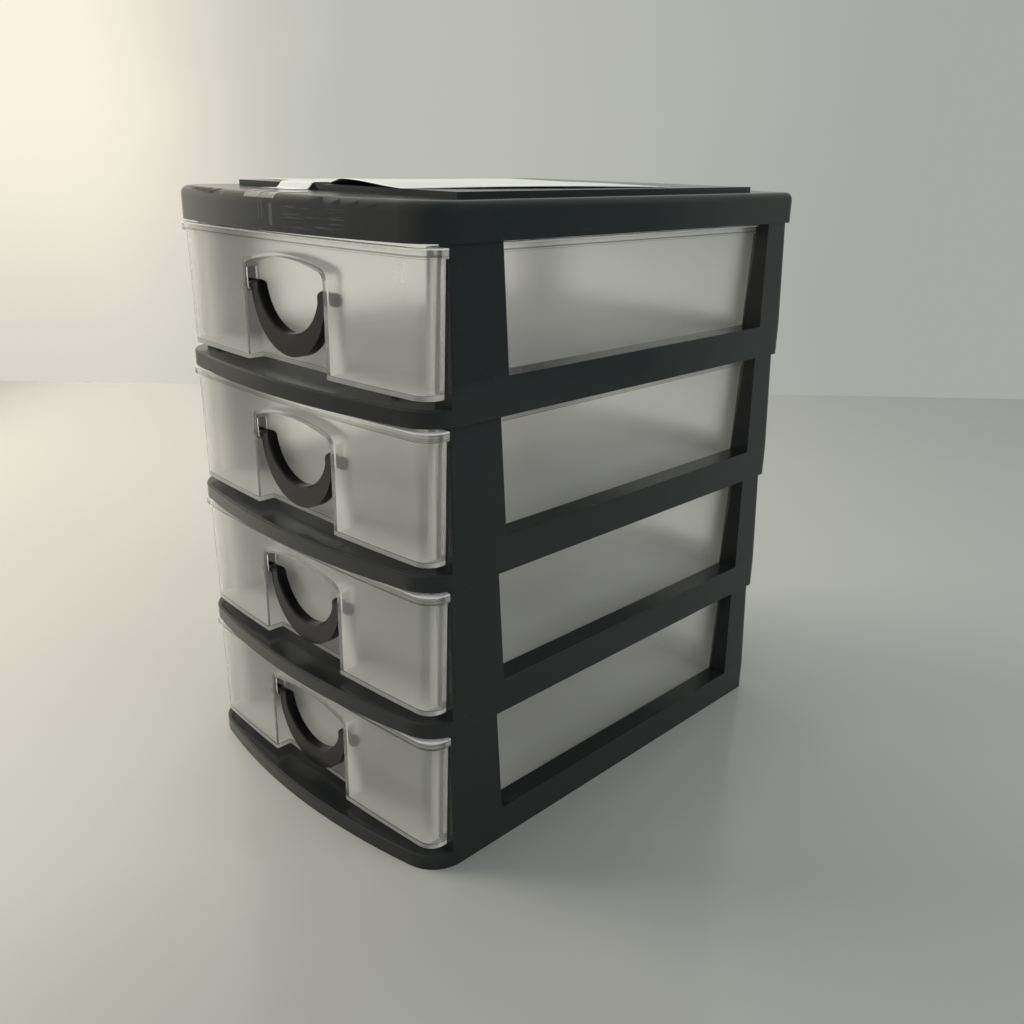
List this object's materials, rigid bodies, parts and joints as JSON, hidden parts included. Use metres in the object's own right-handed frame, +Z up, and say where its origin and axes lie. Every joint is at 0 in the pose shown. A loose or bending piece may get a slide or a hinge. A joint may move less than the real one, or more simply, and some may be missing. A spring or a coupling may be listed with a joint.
{
  "type": "desktop mini drawers",
  "caption": "Stacked desktop organiser with dark open-sided module frames, frosted slide-out drawers, swinging bail pulls in arched recesses and a flat cover.",
  "frame": {"origin": "middle of the footprint on the table", "axes": "+Z up, -Y towards the drawer fronts, +X to the right of someone facing the drawers"},
  "size_m": [0.1244, 0.1754, 0.1975],
  "materials": {
    "frame": "glossy moulded",
    "tray": "frosted translucent",
    "bail": "satin moulded",
    "sheet": "plain thin sheet"
  },
  "bodies": {
    "frame": {"tier_frame_1": "frame", "tier_frame_2": "frame", "tier_frame_3": "frame", "tier_frame_4": "frame", "top_cover": "frame", "top_sheet": "sheet"},
    "drawer_4": {"drawer_4": "tray"},
    "handle_4": {"handle_4": "bail"},
    "drawer_3": {"drawer_3": "tray"},
    "handle_3": {"handle_3": "bail"},
    "drawer_2": {"drawer_2": "tray"},
    "handle_2": {"handle_2": "bail"},
    "drawer_1": {"drawer_1": "tray"},
    "handle_1": {"handle_1": "bail"}
  },
  "joints": [
    {"name": "drawer_4_slide", "type": "slide", "parent": "frame", "child": "drawer_4", "axis": [0, -1, 0], "range_m": [0, 0.12]},
    {"name": "handle_4_hinge", "type": "hinge", "parent": "drawer_4", "child": "handle_4", "pos_m": [0, -0.0789, 0.0288], "axis": [-1, 0, 0], "range_deg": [0, 135]},
    {"name": "drawer_3_slide", "type": "slide", "parent": "frame", "child": "drawer_3", "axis": [0, -1, 0], "range_m": [0, 0.12]},
    {"name": "handle_3_hinge", "type": "hinge", "parent": "drawer_3", "child": "handle_3", "pos_m": [0, -0.0789, 0.0748], "axis": [-1, 0, 0], "range_deg": [0, 135]},
    {"name": "drawer_2_slide", "type": "slide", "parent": "frame", "child": "drawer_2", "axis": [0, -1, 0], "range_m": [0, 0.12]},
    {"name": "handle_2_hinge", "type": "hinge", "parent": "drawer_2", "child": "handle_2", "pos_m": [0, -0.0789, 0.1208], "axis": [-1, 0, 0], "range_deg": [0, 135]},
    {"name": "drawer_1_slide", "type": "slide", "parent": "frame", "child": "drawer_1", "axis": [0, -1, 0], "range_m": [0, 0.12]},
    {"name": "handle_1_hinge", "type": "hinge", "parent": "drawer_1", "child": "handle_1", "pos_m": [0, -0.0789, 0.1668], "axis": [-1, 0, 0], "range_deg": [0, 135]}
  ]
}
